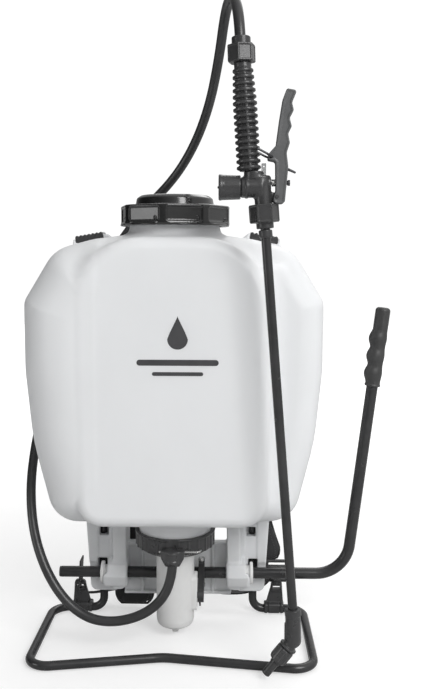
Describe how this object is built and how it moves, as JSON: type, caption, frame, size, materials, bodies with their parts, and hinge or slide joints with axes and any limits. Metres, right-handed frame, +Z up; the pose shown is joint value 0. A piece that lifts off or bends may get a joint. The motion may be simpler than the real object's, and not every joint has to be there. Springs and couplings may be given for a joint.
{
  "type": "backpack sprayer",
  "caption": "Backpack sprayer: translucent upright tank on a bent tube stand, side pump lever, hose over the top, shut-off handle with trigger and a long spray lance.",
  "frame": {"origin": "on the floor, on the common vertical axis of the pump, the tank's outlet and the filler neck", "axes": "+Z up along the pump axis; +X to the right seen from the front, towards the pump lever; the front panel and the lance face -Y, the wearer's back is on +Y"},
  "size_m": [0.4735, 0.2682, 0.788],
  "materials": {
    "tank_plastic": "translucent natural polyethylene, satin",
    "pump_plastic": "white acetal, smooth",
    "basket_plastic": "natural polypropylene",
    "cap_plastic": "black polypropylene, semi-gloss",
    "black_plastic": "black glass-filled nylon, satin",
    "rubber": "black nitrile",
    "grip_rubber": "black vinyl grip, satin",
    "hose_rubber": "black reinforced vinyl hose, satin",
    "painted_tube": "black powder coat, semi-gloss",
    "steel": "stainless steel",
    "wire": "blackened steel wire",
    "strap_fabric": "black nylon over foam",
    "webbing": "black woven polypropylene webbing"
  },
  "bodies": {
    "sprayer": {"tank_shell": "tank_plastic", "tank_skirt": "tank_plastic", "strap_bracket_right": "black_plastic", "strap_bracket_left": "black_plastic", "bracket_screws": "steel", "filter_basket": "basket_plastic", "pump_collar": "black_plastic", "collar_gasket": "rubber", "pressure_chamber": "basket_plastic", "intake_strainer": "steel", "piston_tube": "basket_plastic", "piston_head": "basket_plastic", "piston_seal": "rubber", "check_ball": "steel", "cylinder_wiper": "rubber", "outlet_elbow": "black_plastic", "outlet_clip": "steel", "outlet_o_ring": "rubber", "shaft_bush_right": "pump_plastic", "shaft_bush_left": "pump_plastic", "stand_frame": "painted_tube", "stand_screws": "steel", "strap_clip_right": "black_plastic", "strap_clip_left": "black_plastic", "shoulder_strap_left": "strap_fabric", "shoulder_strap_right": "strap_fabric", "strap_webbing_left": "webbing", "strap_webbing_right": "webbing", "strap_buckle_left": "black_plastic", "strap_buckle_right": "black_plastic", "hose": "hose_rubber", "hose_nut": "black_plastic", "handle_grip": "black_plastic", "valve_body": "black_plastic", "filter_cap": "black_plastic", "filter_screen": "steel", "valve_spring": "steel", "stem_seal": "rubber", "trigger_pin": "steel", "bleed_tab": "basket_plastic", "lance_nut": "black_plastic", "lance_ferrule": "black_plastic", "lance_tube": "black_plastic", "lance_o_ring": "rubber", "nozzle_elbow": "black_plastic", "nozzle_tip": "black_plastic"},
    "cap_body": {"cap_lid": "cap_plastic", "cap_gasket": "rubber", "vent_valve": "rubber"},
    "cap_nut": {"cap_ring": "cap_plastic"},
    "lever": {"lever_tube": "painted_tube", "lever_grip": "grip_rubber", "shaft_end_plug": "black_plastic", "crank_arm": "black_plastic", "crank_bolt": "steel"},
    "cylinder": {"pump_cylinder": "pump_plastic"},
    "trigger_lever": {"trigger": "black_plastic"},
    "stem": {"valve_stem": "steel"},
    "bail": {"lock_bail": "wire"},
    "spray_cap": {"nozzle_nut": "black_plastic"}
  },
  "joints": [
    {"name": "pump_lever_swing", "type": "hinge", "parent": "sprayer", "child": "lever", "pos_m": [0, 0.038, 0.067], "axis": [-1, 0, 0], "range_deg": [0, 50]},
    {"name": "pump_stroke", "type": "slide", "parent": "sprayer", "child": "cylinder", "axis": [0, 0, 1], "range_m": [-0.0005, 0.0345]},
    {"name": "cap_lift", "type": "slide", "parent": "sprayer", "child": "cap_body", "axis": [0, 0, 1], "range_m": [-0.0005, 0.0245]},
    {"name": "cap_turn", "type": "hinge", "parent": "cap_body", "child": "cap_nut", "pos_m": [0, 0, 0.543], "axis": [0, 0, 1], "range_deg": [0, 720]},
    {"name": "trigger_squeeze", "type": "hinge", "parent": "sprayer", "child": "trigger_lever", "pos_m": [0.119, -0.125, 0.556], "axis": [0, -1, 0], "range_deg": [0, 11], "stiffness_Nm_per_rad": 2, "springref_deg": -5.73},
    {"name": "stem_push", "type": "slide", "parent": "sprayer", "child": "stem", "axis": [-1, 0, 0], "range_m": [-0.0002, 0.0037], "deforming": ["valve_spring"]},
    {"name": "bail_swing", "type": "hinge", "parent": "trigger_lever", "child": "bail", "pos_m": [0.1125, -0.125, 0.5985], "axis": [0, -1, 0], "range_deg": [-10, 0]},
    {"name": "nozzle_turn", "type": "hinge", "parent": "sprayer", "child": "spray_cap", "pos_m": [0.1442, -0.125, 0.0492], "axis": [-0.6181, 0, -0.7861], "range_deg": [0, 270]}
  ],
  "couplings": [
    {"joint": "pump_stroke", "follows": "pump_lever_swing", "m_per_rad": 0.038743},
    {"joint": "cap_lift", "follows": "cap_turn", "m_per_rad": 0.0019099},
    {"joint": "stem_push", "follows": "trigger_squeeze", "m_per_rad": 0.0155}
  ]
}
